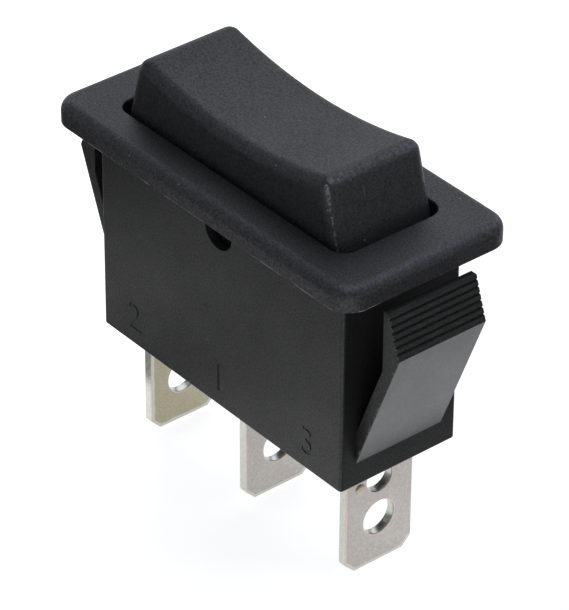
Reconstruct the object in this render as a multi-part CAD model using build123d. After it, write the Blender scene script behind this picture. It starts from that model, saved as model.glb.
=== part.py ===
from build123d import *
import os
from math import cos, radians, sin, tan

# Centre-off changeover rocker switch for a panel cut-out.
# Millimetres. Z = 0 is the underside of the bezel, where it seats on the panel, and +Z
# points out of the panel. X runs along the rocker, which turns about an axis along Y.

# Rocker
rocker_reach = 12.6          # pivot axis to the end faces
rocker_width = 9.0
rocker_dip_height = 5.45     # lowest point of the dished top, above the panel seat
rocker_dish_radius = 40.0
rocker_end_draft = 15.3      # degrees that the end faces lean inwards
rocker_edge = 0.95           # rounding of the edges of the top
rocker_corner = 0.95         # rounding of the upright edges
rocker_recess = 0.6          # how deep the guide tube and webs run into the top
rocker_top_wall = 1.2
rocker_side_wall = 0.95
rocker_skirt = 3.5           # pivot axis to the lower edges that land on the stops
rocker_tilt = 11.0           # degrees to each side of the centre-off position
web_thickness = 0.8
web_reach = 5.6              # how far the long stiffening web runs from the guide

# Pivot
pivot_depth = 2.3            # below the panel seat
trunnion_radius = 1.45
trunnion_length = 0.7
trunnion_toe = 0.1           # length left at the bottom of the slanted end that spreads the walls
trunnion_clearance = 0.09

# Housing
end_gap = 0.2                # rocker end faces to the mouth
side_gap = 0.25
end_wall = 1.1
side_wall = 0.7
floor_thickness = 1.62
mouth_corner = 0.8
mouth_bevel = 0.15
stop_gap = 0.1
body_edge = 0.3
bezel_end_overhang = 2.9
bezel_side_overhang = 2.32
bezel_thickness = 1.87
bezel_corner = 1.9
bezel_edge = 0.9

# Snap wings
wing_width = 8.1
wing_root_rise = 2.0         # root above the bottom of the body
wing_ridge_out = 4.35        # ridge beyond the end of the body
wing_ridge_depth = 4.45      # ridge below the panel seat
wing_tip_out = 3.16
wing_tip_depth = 0.95
wing_tip_flat = 0.55
wing_arm = 1.1               # thickness of the springy arm, measured along X
wing_tip_edge = 0.25
wing_grooves = 6
wing_groove_depth = 0.14
wing_groove_width = 0.17

# Plunger and its spring
plunger_reach = 9.55         # pivot axis to the tip of the nose
plunger_radius = 1.5
plunger_nose_radius = 1.2
plunger_shank = 5.4          # guided length
plunger_clearance = 0.06
plunger_stem_radius = 0.8
plunger_stem = 2.4
guide_wall = 0.7
guide_depth = 5.8            # pivot axis to the mouth of the guide
spring_wire = 0.34
spring_radius = 1.15         # to the middle of the wire
spring_turns = 4.5

# Rocking contact
strip_thickness = 0.6
strip_width = 5.2
strip_corner = 1.5
strip_waist = 4.0
strip_waist_reach = 0.9
strip_tilt = 10.0            # degrees at which a contact closes
strip_end = 1.8              # strip beyond the middle of its contact
detent_depth = 0.06
detent_radius = 1.3
nose_gap = 0.05
fulcrum_gap = 0.03
closed_gap = 0.06

# Contact rivets
button_radius = 1.4
button_height = 0.7
button_dome = 6.0
button_shank_radius = 0.7
button_upset_radius = 1.1
button_upset = 0.3
fixed_radius = 1.5
fixed_height = 0.5
fixed_edge = 0.15
fixed_shank_radius = 0.8
rivet_clearance = 0.02

# Terminals
terminal_thickness = 0.8
tab_width = 6.35
tab_length = 10.0            # below the body
tab_corner = 1.05
tab_bevel = 0.2
tab_hole_rise = 4.1          # solder hole above the tip
tab_hole_radius = 1.45
upper_hole_rise = 7.72
upper_hole_radius = 1.2
dimple_rise = 7.5
dimple_side = 1.85
dimple_radius = 0.55
dimple_height = 0.15
terminal_inset = 0.85        # outer face of a throw terminal to the end wall
contact_inset = 3.2          # throw terminal to the moving contact
bend_radius = 0.3
foot_margin = 0.35
slot_clearance = 0.03
shoulder_width = 7.6
shoulder_height = 2.2
shoulder_clearance = 0.05
ear_gap = 0.15
ear_width = 0.8
ear_height = 1.0

# How far a cut runs past what it cuts
cut_past = 1.0

# Places that follow from the sizes above
sides = {"left": -1, "right": 1}
pivot_z = -pivot_depth
pivot_hole_radius = trunnion_radius + trunnion_clearance
cavity_length = 2 * (rocker_reach + end_gap)
cavity_width = rocker_width + 2 * side_gap
ledge_z = pivot_z - rocker_skirt - stop_gap
body_length = cavity_length + 2 * end_wall
body_width = cavity_width + 2 * side_wall

nose_z = pivot_z - plunger_reach
strip_top_z = nose_z - nose_gap + detent_depth
strip_bottom_z = strip_top_z - strip_thickness
fulcrum_radius = terminal_thickness / 2
fulcrum_z = strip_bottom_z - fulcrum_gap - fulcrum_radius
throw_x = cavity_length / 2 - terminal_inset - terminal_thickness / 2
button_x = throw_x - contact_inset
button_crown = strip_bottom_z - button_height + button_dome - fulcrum_z
fixed_x = button_x * cos(radians(strip_tilt)) + button_crown * sin(radians(strip_tilt))
closed_z = (
    fulcrum_z
    - button_x * sin(radians(strip_tilt))
    + button_crown * cos(radians(strip_tilt))
    - button_dome
)
foot_top_z = closed_z - closed_gap - fixed_height
floor_z = foot_top_z - terminal_thickness
body_bottom_z = floor_z - floor_thickness
tip_z = body_bottom_z - tab_length
chamber_length = 2 * (throw_x + terminal_thickness)
chamber_width = shoulder_width + 2 * shoulder_clearance
spring_seat_z = nose_z + plunger_nose_radius + plunger_shank
guide_top_z = rocker_dip_height - rocker_top_wall


def rounded_block(length, width, corner, low, high):
    """A straight-sided block with rounded upright corners, from height low to high."""
    outline = Pos(0, 0, low) * RectangleRounded(length, width, corner)
    return extrude(outline, high - low)


def block_between(low, high):
    """A plain block between two opposite corners."""
    size = [b - a for a, b in zip(low, high)]
    return Pos(*low) * Box(*size, align=(Align.MIN, Align.MIN, Align.MIN))


def upright_profile(points):
    """A flat outline in the XZ plane, from (x, z) corners."""
    return make_face(Polyline([(x, 0, z) for x, z in points], close=True))


# ---------------------------------------------------------------- housing
def bezel():
    length = body_length + 2 * bezel_end_overhang
    width = body_width + 2 * bezel_side_overhang
    plate = rounded_block(length, width, bezel_corner, 0, bezel_thickness)
    rim = plate.faces().sort_by(Axis.Z)[-1].edges()
    return fillet(rim, min(bezel_edge, 0.9 * bezel_thickness))


def wing_outline():
    """Right-hand snap wing: a straight arm that leans out, with a head above its bend."""
    wall_x = body_length / 2
    root_z = body_bottom_z + wing_root_rise
    ridge = (wall_x + wing_ridge_out, -wing_ridge_depth)
    tip = (wall_x + wing_tip_out, -wing_tip_depth)
    lean = wing_ridge_out / (-wing_ridge_depth - root_z)
    head_x = tip[0] - wing_tip_flat
    crotch_z = root_z + wing_arm / lean
    bend_z = crotch_z + (head_x - wall_x) / lean
    inside = wall_x - end_wall / 2
    return [
        (inside, root_z),
        (wall_x, root_z),
        ridge,
        tip,
        (head_x, tip[1]),
        (head_x, bend_z),
        (wall_x, crotch_z),
        (inside, crotch_z),
    ], ridge, tip


def wing():
    """The right-hand wing, with grooves across the face that grips the panel."""
    outline, ridge, tip = wing_outline()
    arm = extrude(upright_profile(outline), wing_width / 2, dir=(0, 1, 0), both=True)
    top = arm.edges().filter_by(Axis.Y).group_by(Axis.Z)[-1]
    arm = fillet(top, min(wing_tip_edge, 0.45 * wing_tip_flat))
    run = Vector(tip[0] - ridge[0], 0, tip[1] - ridge[1])
    along = run.normalized()
    out = Vector(along.Z, 0, -along.X)
    half = along * (wing_groove_width / 2)
    for step in range(1, wing_grooves + 1):
        middle = Vector(ridge[0], 0, ridge[1]) + run * (step / (wing_grooves + 1))
        root = middle - out * wing_groove_depth
        above = middle + out * wing_groove_depth
        corners = [above + half * 2, above - half * 2, root]
        groove = upright_profile([(corner.X, corner.Z) for corner in corners])
        arm -= extrude(groove, wing_width, dir=(0, 1, 0), both=True)
    return arm


def terminal_slot(place):
    """A slot through the floor for one terminal."""
    long = terminal_thickness + 2 * slot_clearance
    wide = tab_width + 2 * slot_clearance
    low = (place - long / 2, -wide / 2, body_bottom_z - cut_past)
    return block_between(low, (place + long / 2, wide / 2, floor_z + cut_past))


def bend_relief(side):
    """A bevel at the inner edge of a throw slot, clear of the terminal's bend."""
    edge = throw_x - terminal_thickness / 2 - slot_clearance
    leg = bend_radius + slot_clearance
    corners = [
        (edge - leg, floor_z),
        (edge, floor_z - leg),
        (edge + leg, floor_z),
        (edge, floor_z + leg),
    ]
    wide = tab_width / 2 + slot_clearance
    cut = extrude(upright_profile(corners), wide, dir=(0, 1, 0), both=True)
    return cut if side > 0 else mirror(cut, Plane.YZ)


def housing():
    """Body, bezel and both snap wings, moulded as one."""
    body = rounded_block(body_length, body_width, body_edge, body_bottom_z, bezel_thickness / 2)
    right = wing()
    shell = body + bezel() + right + mirror(right, Plane.YZ)
    above = bezel_thickness + cut_past
    cavity = rounded_block(cavity_length, cavity_width, mouth_corner, ledge_z, above)
    rim = Pos(0, 0, bezel_thickness) * RectangleRounded(
        cavity_length + 2 * mouth_bevel, cavity_width + 2 * mouth_bevel, mouth_corner + mouth_bevel
    )
    bevel = extrude(rim, -mouth_bevel, taper=45)
    high = ledge_z + cut_past
    chamber = rounded_block(chamber_length, chamber_width, mouth_corner / 2, floor_z, high)
    shell -= cavity + bevel + chamber
    shell -= Pos(0, 0, pivot_z) * Rot(90, 0, 0) * Cylinder(pivot_hole_radius, 2 * body_width)
    for place in (-throw_x, 0, throw_x):
        shell -= terminal_slot(place)
    for side in sides.values():
        shell -= bend_relief(side)
    return shell


# ---------------------------------------------------------------- rocker
def rocker_outline(wall, low):
    """Long section of the rocker, moved in by a wall thickness, down to height low.

    The top is dished, the end faces lean in, and below the pivot's level the ends
    follow a circle about the pivot axis.
    """
    reach = rocker_reach - wall
    dish = rocker_dish_radius + wall
    dish_z = rocker_dip_height - wall + dish
    draft = radians(rocker_end_draft)
    foot = (reach * cos(draft), pivot_z + reach * sin(draft))
    high = rocker_dip_height + rocker_reach
    lean_x = foot[0] - (high - foot[1]) * tan(draft)
    block = upright_profile([
        (-foot[0], foot[1]),
        (foot[0], foot[1]),
        (lean_x, high),
        (-lean_x, high),
    ])
    ends = Pos(0, 0, pivot_z) * Rot(90, 0, 0) * Circle(reach)
    band = upright_profile([(-reach, low), (reach, low), (reach, foot[1]), (-reach, foot[1])])
    dished = Pos(0, 0, dish_z) * Rot(90, 0, 0) * Circle(dish)
    return block + (ends & band) - dished


def skirt_trim():
    """What is cut from below the rocker so that it lands flat on the stops at full tilt."""
    tilt = radians(rocker_tilt)
    drop = rocker_skirt / cos(tilt)
    far = rocker_reach + cut_past
    rise = far * tan(tilt)
    low = pivot_z - drop - 2 * cut_past
    wedge = upright_profile([
        (-far, low),
        (far, low),
        (far, pivot_z - drop + rise),
        (0, pivot_z - drop),
        (-far, pivot_z - drop + rise),
    ])
    return extrude(wedge, rocker_width, dir=(0, 1, 0), both=True)


def guide_tube():
    """Tube for the plunger and its spring, hanging from the top of the rocker."""
    outer = plunger_radius + plunger_clearance + guide_wall
    low = pivot_z - guide_depth
    height = guide_top_z + rocker_recess - low
    return Pos(0, 0, low) * Cylinder(outer, height, align=(Align.CENTER, Align.CENTER, Align.MIN))


def rocker_webs():
    """One long web and one cross web that stiffen the top and carry the guide tube."""
    low = pivot_z
    high = guide_top_z + rocker_recess
    half = web_thickness / 2
    long = block_between((-web_reach, -half, low), (web_reach, half, high))
    reach = rocker_width / 2 - rocker_side_wall / 2
    cross = block_between((-half, -reach, low), (half, reach, high))
    return long + cross


def trunnions():
    """The two pins that snap into the side walls, each with an end that slants below its axis."""
    half = rocker_width / 2
    reach = half + trunnion_length
    toe = half + trunnion_toe
    low = pivot_z - trunnion_radius
    ends = [(toe, low - cut_past), (toe, low), (reach, pivot_z), (reach, 0)]
    corners = ends + [(-y, z) for y, z in reversed(ends)]
    outline = make_face(Polyline([(0, y, z) for y, z in corners], close=True))
    room = extrude(outline, trunnion_radius + cut_past, dir=(1, 0, 0), both=True)
    pins = Pos(0, 0, pivot_z) * Rot(90, 0, 0) * Cylinder(trunnion_radius, 2 * reach)
    inside = half - rocker_side_wall
    wide = trunnion_radius + cut_past
    hollow = block_between((-wide, -inside, low - cut_past), (wide, inside, 0))
    return (pins & room) - hollow


def rocker():
    """Dished rocker cap, hollow below, with its trunnions and guide tube in one moulding."""
    low = pivot_z - rocker_skirt - cut_past
    half = rocker_width / 2
    block = extrude(rocker_outline(0, low), half, dir=(0, 1, 0), both=True)
    foot_z = pivot_z + rocker_reach * sin(radians(rocker_end_draft))
    above = block.edges().filter_by(lambda edge: edge.center().Z > foot_z + rocker_edge)
    upright = above.filter_by(GeomType.LINE) - above.filter_by(Axis.Y)
    cap = fillet(upright, rocker_corner)
    crown = cap.edges().filter_by(lambda edge: edge.bounding_box().min.Z > foot_z + rocker_edge)
    cap = fillet(crown, rocker_edge)
    inner_half = half - rocker_side_wall
    cap -= extrude(rocker_outline(rocker_top_wall, low - cut_past), inner_half, dir=(0, 1, 0), both=True)
    cap -= skirt_trim()
    cap += guide_tube() + rocker_webs() + trunnions()
    bore = plunger_radius + plunger_clearance
    depth = guide_top_z - (pivot_z - guide_depth) - rocker_side_wall
    cap -= Pos(0, 0, pivot_z - guide_depth) * Cylinder(
        bore, depth, align=(Align.CENTER, Align.CENTER, Align.MIN)
    )
    return cap


# ---------------------------------------------------------------- plunger and spring
def turned(points):
    """A round piece about Z, from (radius, z) corners."""
    return revolve(upright_profile(points), Axis.Z)


def plunger():
    """Guided pin with a round nose below and a stem that centres the spring above."""
    ball_z = nose_z + plunger_nose_radius
    step = plunger_radius - plunger_nose_radius
    pin = turned([
        (0, ball_z),
        (plunger_nose_radius, ball_z),
        (plunger_radius, ball_z + step),
        (plunger_radius, spring_seat_z),
        (plunger_stem_radius, spring_seat_z),
        (plunger_stem_radius, spring_seat_z + plunger_stem - step),
        (plunger_stem_radius - step, spring_seat_z + plunger_stem),
        (0, spring_seat_z + plunger_stem),
    ])
    return pin + Pos(0, 0, ball_z) * Sphere(plunger_nose_radius)


def plunger_spring():
    """Compression spring, ground flat at both ends. Its wire is square, to keep its faces few."""
    top = guide_top_z - rocker_side_wall
    length = top - spring_seat_z
    pitch = length / spring_turns
    path = Pos(0, 0, spring_seat_z) * Helix(pitch, length, spring_radius)
    section = Plane(path @ 0, z_dir=path % 0) * RegularPolygon(spring_wire / 2, 4)
    coil = sweep(section, path, is_frenet=True)
    wide = 2 * spring_radius
    room = block_between((-wide, -wide, spring_seat_z), (wide, wide, top))
    return coil & room


# ---------------------------------------------------------------- rocking contact
def contact_strip():
    """Strip that rocks on the common terminal, waisted to sit between its ears."""
    reach = button_x + strip_end
    half = strip_width / 2
    strip = block_between((-reach, -half, strip_bottom_z), (reach, half, strip_top_z))
    strip = fillet(strip.edges().filter_by(Axis.Z), strip_corner)
    for side in (-1, 1):
        notch = Box(2 * strip_waist_reach, strip_width, 4 * strip_thickness)
        strip -= Pos(0, side * (strip_waist + strip_width) / 2, strip_bottom_z) * notch
    groove = Cylinder(detent_radius, 2 * strip_width)
    strip -= Pos(0, 0, strip_top_z - detent_depth + detent_radius) * Rot(90, 0, 0) * groove
    for side in sides.values():
        hole = Cylinder(button_shank_radius + rivet_clearance, 4 * strip_thickness)
        strip -= Pos(side * button_x, 0, strip_bottom_z) * hole
    return strip


def moving_contact(side):
    """Domed silver rivet under one end of the strip."""
    base = strip_bottom_z - button_height
    rivet = turned([
        (0, base),
        (button_radius, base),
        (button_radius, strip_bottom_z),
        (button_shank_radius, strip_bottom_z),
        (button_shank_radius, strip_top_z),
        (button_upset_radius, strip_top_z),
        (button_shank_radius, strip_top_z + button_upset),
        (0, strip_top_z + button_upset),
    ])
    head = Pos(0, 0, base + button_dome) * Sphere(button_dome)
    wide = 2 * button_radius
    below = block_between((-wide, -wide, base - cut_past), (wide, wide, strip_bottom_z))
    rivet = rivet - (below - head)
    return Pos(side * button_x, 0, 0) * rivet


# ---------------------------------------------------------------- terminals
def tab_outline(top):
    """Blade outline in the YZ plane, from the tip up to a given height."""
    half = tab_width / 2
    corner = half - tab_corner
    return [
        (-half, top),
        (-half, tip_z + tab_corner),
        (-corner, tip_z),
        (corner, tip_z),
        (half, tip_z + tab_corner),
        (half, top),
    ]


def pressed_plate(points, place):
    """A sheet metal plate across X, from (y, z) corners, bevelled at its tip."""
    outline = make_face(Polyline([(place, y, z) for y, z in points], close=True))
    plate = extrude(outline, terminal_thickness / 2, dir=(1, 0, 0), both=True)
    tip = plate.faces().sort_by(Axis.Z)[0].edges().filter_by(Axis.Y)
    plate = chamfer(tip, tab_bevel)
    for rise, radius in ((tab_hole_rise, tab_hole_radius), (upper_hole_rise, upper_hole_radius)):
        hole = Rot(0, 90, 0) * Cylinder(radius, 4 * terminal_thickness)
        plate -= Pos(place, 0, tip_z + rise) * hole
    return plate


def common_terminal():
    """Centre terminal: a tab, shoulders on the floor, and a round top edge between two ears."""
    ear_in = strip_waist / 2 + ear_gap
    ear_out = ear_in + ear_width
    shoulder = shoulder_width / 2
    top = fulcrum_z + fulcrum_radius + ear_height
    upper = [
        (shoulder, floor_z),
        (shoulder, floor_z + shoulder_height),
        (ear_out, floor_z + shoulder_height),
        (ear_out, top),
        (ear_in, top),
        (ear_in, fulcrum_z),
    ]
    mirrored = [(-y, z) for y, z in reversed(upper)]
    plate = pressed_plate(tab_outline(floor_z) + upper + mirrored, 0)
    edge = Pos(0, 0, fulcrum_z) * Rot(90, 0, 0) * Cylinder(fulcrum_radius, 2 * ear_in)
    return plate + edge


def folded_foot():
    """The fold above a throw terminal's tab and the flat foot that lies on the floor."""
    inner = throw_x - terminal_thickness / 2
    outer = throw_x + terminal_thickness / 2
    low = floor_z - 2 * bend_radius
    foot_end = fixed_x - fixed_radius - foot_margin
    fold = upright_profile([
        (foot_end, floor_z),
        (inner, floor_z),
        (inner, low),
        (outer, low),
        (outer, foot_top_z),
        (foot_end, foot_top_z),
    ])
    middle = Vector(throw_x, 0, (floor_z + foot_top_z) / 2)
    bend = fold.vertices().sort_by(lambda corner: (corner.center() - middle).length)[:2]
    bend.sort(key=lambda corner: corner.Z)
    inside, outside = bend
    fold = fillet(inside, bend_radius)
    outside = fold.vertices().sort_by(lambda corner: (corner.center() - outside.center()).length)[0]
    fold = fillet(outside, bend_radius + terminal_thickness)
    return extrude(fold, tab_width / 2, dir=(0, 1, 0), both=True), low


def throw_terminal(side):
    """End terminal: a tab whose top is folded in over the floor to carry a fixed contact."""
    foot, low = folded_foot()
    outer = throw_x + terminal_thickness / 2
    terminal = pressed_plate(tab_outline(low), throw_x) + foot
    shank = Cylinder(fixed_shank_radius + rivet_clearance, 4 * terminal_thickness)
    terminal -= Pos(fixed_x, 0, floor_z) * shank
    pip = Cylinder(dimple_radius, 2 * (dimple_height + terminal_thickness / 4))
    pip = chamfer(pip.edges().filter_by(GeomType.CIRCLE), 0.9 * dimple_height)
    pip_x = outer - terminal_thickness / 4
    terminal += Pos(pip_x, -dimple_side, tip_z + dimple_rise) * Rot(0, 90, 0) * pip
    return terminal if side > 0 else Rot(0, 0, 180) * terminal


def fixed_contact(side):
    """Flat silver rivet set flush into the foot of one throw terminal."""
    top = foot_top_z + fixed_height
    rivet = turned([
        (0, floor_z),
        (fixed_shank_radius, floor_z),
        (fixed_shank_radius, foot_top_z),
        (fixed_radius, foot_top_z),
        (fixed_radius, top - fixed_edge),
        (fixed_radius - fixed_edge, top),
        (0, top),
    ])
    return Pos(side * fixed_x, 0, 0) * rivet


# ---------------------------------------------------------------- the whole switch
def all_nodes():
    nodes = {
        "housing": housing(),
        "rocker": rocker(),
        "plunger": plunger(),
        "plunger_spring": plunger_spring(),
        "rocking_contact": contact_strip(),
        "common_terminal": common_terminal(),
    }
    for name, side in sides.items():
        nodes[name + "_moving_contact"] = moving_contact(side)
        nodes[name + "_throw_terminal"] = throw_terminal(side)
        nodes[name + "_fixed_contact"] = fixed_contact(side)
    return nodes


os.makedirs("parts", exist_ok=True)
for node, solid in all_nodes().items():
    export_step(solid, "parts/" + node + ".step")
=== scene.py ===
from math import asin, cos, pi, radians, sin, sqrt

import bmesh
import bpy
from mathutils import Matrix, Vector


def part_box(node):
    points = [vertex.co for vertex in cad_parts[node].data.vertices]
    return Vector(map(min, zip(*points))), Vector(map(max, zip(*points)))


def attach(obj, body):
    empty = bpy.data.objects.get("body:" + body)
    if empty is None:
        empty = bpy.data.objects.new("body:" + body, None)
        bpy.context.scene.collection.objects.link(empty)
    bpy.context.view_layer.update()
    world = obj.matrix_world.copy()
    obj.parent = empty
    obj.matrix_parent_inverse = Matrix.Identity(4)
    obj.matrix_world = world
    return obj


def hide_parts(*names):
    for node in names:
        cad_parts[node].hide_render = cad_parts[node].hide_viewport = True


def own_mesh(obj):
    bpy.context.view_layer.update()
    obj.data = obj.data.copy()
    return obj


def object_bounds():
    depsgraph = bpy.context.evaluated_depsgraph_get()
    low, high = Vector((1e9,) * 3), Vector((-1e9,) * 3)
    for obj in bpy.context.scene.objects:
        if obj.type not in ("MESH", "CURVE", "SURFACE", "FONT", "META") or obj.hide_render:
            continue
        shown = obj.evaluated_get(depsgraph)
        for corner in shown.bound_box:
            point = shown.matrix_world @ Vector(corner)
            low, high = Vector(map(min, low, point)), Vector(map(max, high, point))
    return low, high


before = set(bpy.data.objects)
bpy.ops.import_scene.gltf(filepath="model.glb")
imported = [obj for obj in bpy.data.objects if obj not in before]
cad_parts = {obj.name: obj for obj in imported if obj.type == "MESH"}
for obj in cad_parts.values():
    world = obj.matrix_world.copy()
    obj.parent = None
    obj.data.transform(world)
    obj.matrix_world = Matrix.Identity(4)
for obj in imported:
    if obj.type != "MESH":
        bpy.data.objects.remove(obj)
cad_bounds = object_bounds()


# ------------------------------------------------------------------ camera
# A long lens looking down on one end and one long side. It is turned by a whisker about its own
# line of sight, and stands level with the middle of the object, so no lens shift is needed.
MM = 0.001
bpy.ops.object.select_all(action="DESELECT")
azimuth, elevation, roll = radians(50.3075), radians(34.4884), radians(0.4118)
distance, aside, below = 290.384 * MM, 0.591 * MM, -9.130 * MM
back = Vector((sin(azimuth) * cos(elevation), -cos(azimuth) * cos(elevation), sin(elevation)))
right = Vector((cos(azimuth), sin(azimuth), 0))
up = back.cross(right)
place = back * distance + right * aside + up * below
turned = Matrix((right * cos(roll) + up * sin(roll), up * cos(roll) - right * sin(roll), back))
bpy.ops.object.camera_add()
camera = bpy.context.object
camera.name = "camera"
camera.matrix_world = Matrix.Translation(place) @ turned.transposed().to_4x4()
camera.data.lens = 238.166
camera.data.sensor_width = 36
camera.data.clip_start = 0.01
camera.data.clip_end = 20
bpy.context.scene.camera = camera
bpy.context.scene.view_settings.view_transform = "Standard"


# ------------------------------------------------------------------ floor and light
# A pale table on which the tabs stand, a broad soft lamp above and behind with three small ones,
# and three cards beside the object, out of the camera's sight. Its steep faces mirror the cards
# instead of the table, which keeps them dark.
def plain_material(name, colour, rough, glow=0.0):
    """A material with no pattern, for what isn't part of the object."""
    material = bpy.data.materials.new(name)
    material.use_nodes = True
    shader = material.node_tree.nodes["Principled BSDF"]
    shader.inputs["Base Color"].default_value = (*colour, 1)
    shader.inputs["Roughness"].default_value = rough
    shader.inputs["Emission Color"].default_value = (1, 1, 1, 1)
    shader.inputs["Emission Strength"].default_value = glow
    return material


floor_level = cad_bounds[0].z
bpy.ops.mesh.primitive_plane_add(size=4, location=(0, 0, floor_level))
floor = bpy.context.object
floor.name = "floor"
floor.data.materials.append(plain_material("pale_table", (0.82, 0.82, 0.82), 0.9, glow=0.72))

card_rise, card_length = 2.5 * MM, 0.16
card_black = plain_material("card_black", (0.02, 0.02, 0.02), 0.9)
card_grey = plain_material("card_grey", (0.20, 0.20, 0.20), 0.9, glow=0.20)
for name, turn, start, end, sideways, finish in (
        ("left_dark_card", radians(-129.7), 0.033, 0.193, 0, card_black),
        ("left_grey_card", radians(-129.7), 0.013, 0.024, 0, card_grey),
        ("right_dark_card", radians(3), 0.0235, 0.184, 0.068, card_black)):
    out = Matrix.Rotation(turn, 3, "Z")
    middle = out @ Vector(((start + end) / 2, sideways, 0))
    bpy.ops.mesh.primitive_plane_add(
        size=1, location=(middle.x, middle.y, floor_level + card_rise), rotation=(0, 0, turn))
    card = bpy.context.object
    card.scale = (end - start, card_length, 1)
    card.name = name
    card.data.materials.append(finish)
    card.visible_camera = False
    card.visible_shadow = False


def soft_lamp(name, towards, reach, size, colour, power):
    """An area lamp that looks at the object from a given direction."""
    bpy.ops.object.light_add(type="AREA", location=Vector(towards).normalized() * reach)
    lamp = bpy.context.object
    lamp.name = name
    lamp.data.shape = "DISK"
    lamp.data.size = size
    lamp.data.color = colour
    lamp.data.energy = power
    lamp.rotation_mode = "QUATERNION"
    lamp.rotation_quaternion = Vector(towards).to_track_quat("Z", "Y")


soft_lamp("sky_lamp", (-0.634, 0.527, 0.70), 0.5, 0.55, (0.90, 0.93, 1.0), 0.94)
soft_lamp("fill_lamp", (0.5, -0.6, 0.9), 0.6, 0.25, (1.0, 1.0, 1.0), 0.35)
soft_lamp("end_edge_lamp", (0.55, 0.53, 0.60), 0.5, 0.3, (0.84, 0.88, 1.0), 0.50)
soft_lamp("side_edge_lamp", (-0.63, -0.47, 0.62), 0.5, 0.2, (0.84, 0.88, 1.0), 0.14)
world = bpy.data.worlds.new("dim_room")
bpy.context.scene.world = world
world.use_nodes = True
room_light = world.node_tree.nodes["Background"].inputs
room_light["Color"].default_value = (0.9, 0.94, 1, 1)
room_light["Strength"].default_value = 0.22


# ------------------------------------------------------------------ housing
# The body, the bezel and both snap wings: one piece, moulded in black polyamide. The bezel is
# spark-eroded, the body and the wings come from polished steel. The numbers beside the
# terminals are cut into the near side. All of it is drawn in millimetres.
TOUCH = 0.001  # places closer than this are the same place
PAST = 1.0  # how far a cutting shape reaches past what it cuts
SHARP = radians(10)  # faces that meet at a smaller angle share a curved surface


def activate(thing):
    """Makes one object the only one that the next operators see."""
    bpy.ops.object.select_all(action="DESELECT")
    thing.select_set(True)
    bpy.context.view_layer.objects.active = thing


def add_block(low, high):
    """A box between two opposite corners, in millimetres."""
    bpy.ops.object.select_all(action="DESELECT")
    middle = [(a + b) / 2 for a, b in zip(low, high)]
    size = [b - a for a, b in zip(low, high)]
    bpy.ops.mesh.primitive_cube_add(size=1, location=middle, scale=size)
    bpy.ops.object.transform_apply(location=True, rotation=True, scale=True)
    return bpy.context.object


def add_rod(radius, low, high, axis, sides=48):
    """A round rod between two heights on a line that runs along X, Y or Z."""
    bpy.ops.object.select_all(action="DESELECT")
    turn = {"X": (0, pi / 2, 0), "Y": (-pi / 2, 0, 0), "Z": (0, 0, 0)}[axis]
    length = (high - low).length
    bpy.ops.mesh.primitive_cylinder_add(
        vertices=sides, radius=radius, depth=length, location=(low + high) / 2, rotation=turn)
    bpy.ops.object.transform_apply(location=True, rotation=True, scale=True)
    return bpy.context.object


def draw_out(points, axis, low, high):
    """An outline drawn corner by corner, then drawn out along one axis into a solid."""
    bpy.ops.object.select_all(action="DESELECT")
    bpy.ops.mesh.primitive_plane_add(size=1)
    thing = bpy.context.object
    bpy.ops.object.mode_set(mode="EDIT")
    bpy.ops.mesh.select_mode(type="VERT")
    bpy.ops.mesh.select_all(action="SELECT")
    bpy.ops.mesh.merge(type="CENTER")
    if axis == "Y":
        corners = [Vector((a, low, b)) for a, b in points]
    else:
        corners = [Vector((low, a, b)) for a, b in points]
    bpy.ops.transform.translate(value=corners[0])
    for start, end in zip(corners, corners[1:]):
        bpy.ops.mesh.extrude_vertices_move(TRANSFORM_OT_translate={"value": end - start})
    bpy.ops.mesh.select_all(action="SELECT")
    bpy.ops.mesh.edge_face_add()
    along = Vector((0, high - low, 0)) if axis == "Y" else Vector((high - low, 0, 0))
    bpy.ops.mesh.extrude_region_move(TRANSFORM_OT_translate={"value": along})
    bpy.ops.mesh.select_all(action="SELECT")
    bpy.ops.mesh.normals_make_consistent(inside=False)
    bpy.ops.object.mode_set(mode="OBJECT")
    return thing


def round_edges(thing, radius, steps, wanted):
    """Bevels the sharp edges that a test picks by the places of their two ends."""
    activate(thing)
    bpy.ops.object.mode_set(mode="EDIT")
    bpy.ops.mesh.select_mode(type="EDGE")
    bpy.ops.mesh.select_all(action="DESELECT")
    mesh = bmesh.from_edit_mesh(thing.data)
    for edge in mesh.edges:
        sharp = edge.calc_face_angle(0) > SHARP
        edge.select_set(sharp and wanted(*(corner.co for corner in edge.verts)))
    bmesh.update_edit_mesh(thing.data)
    bpy.ops.mesh.bevel(offset=radius, segments=steps, affect="EDGES", clamp_overlap=False)
    bpy.ops.object.mode_set(mode="OBJECT")


def upright(a, b):
    """Picks vertical edges."""
    return abs(a.x - b.x) + abs(a.y - b.y) < TOUCH


def level_at(height):
    """Picks the edges that lie at one height."""
    return lambda a, b: abs(a.z - height) + abs(b.z - height) < TOUCH


def close_mesh():
    """In edit mode, welds doubled corners and turns all faces outwards."""
    bpy.ops.mesh.select_all(action="SELECT")
    bpy.ops.mesh.remove_doubles(threshold=TOUCH / 10)
    bpy.ops.mesh.normals_make_consistent(inside=False)


def change(thing, tool, operation):
    """Joins, cuts or trims a piece with another shape, which is used up."""
    step = thing.modifiers.new("step", "BOOLEAN")
    step.operation = operation
    step.solver = "EXACT"
    step.object = tool
    activate(thing)
    bpy.ops.object.modifier_apply(modifier="step")
    bpy.data.objects.remove(tool)


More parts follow.
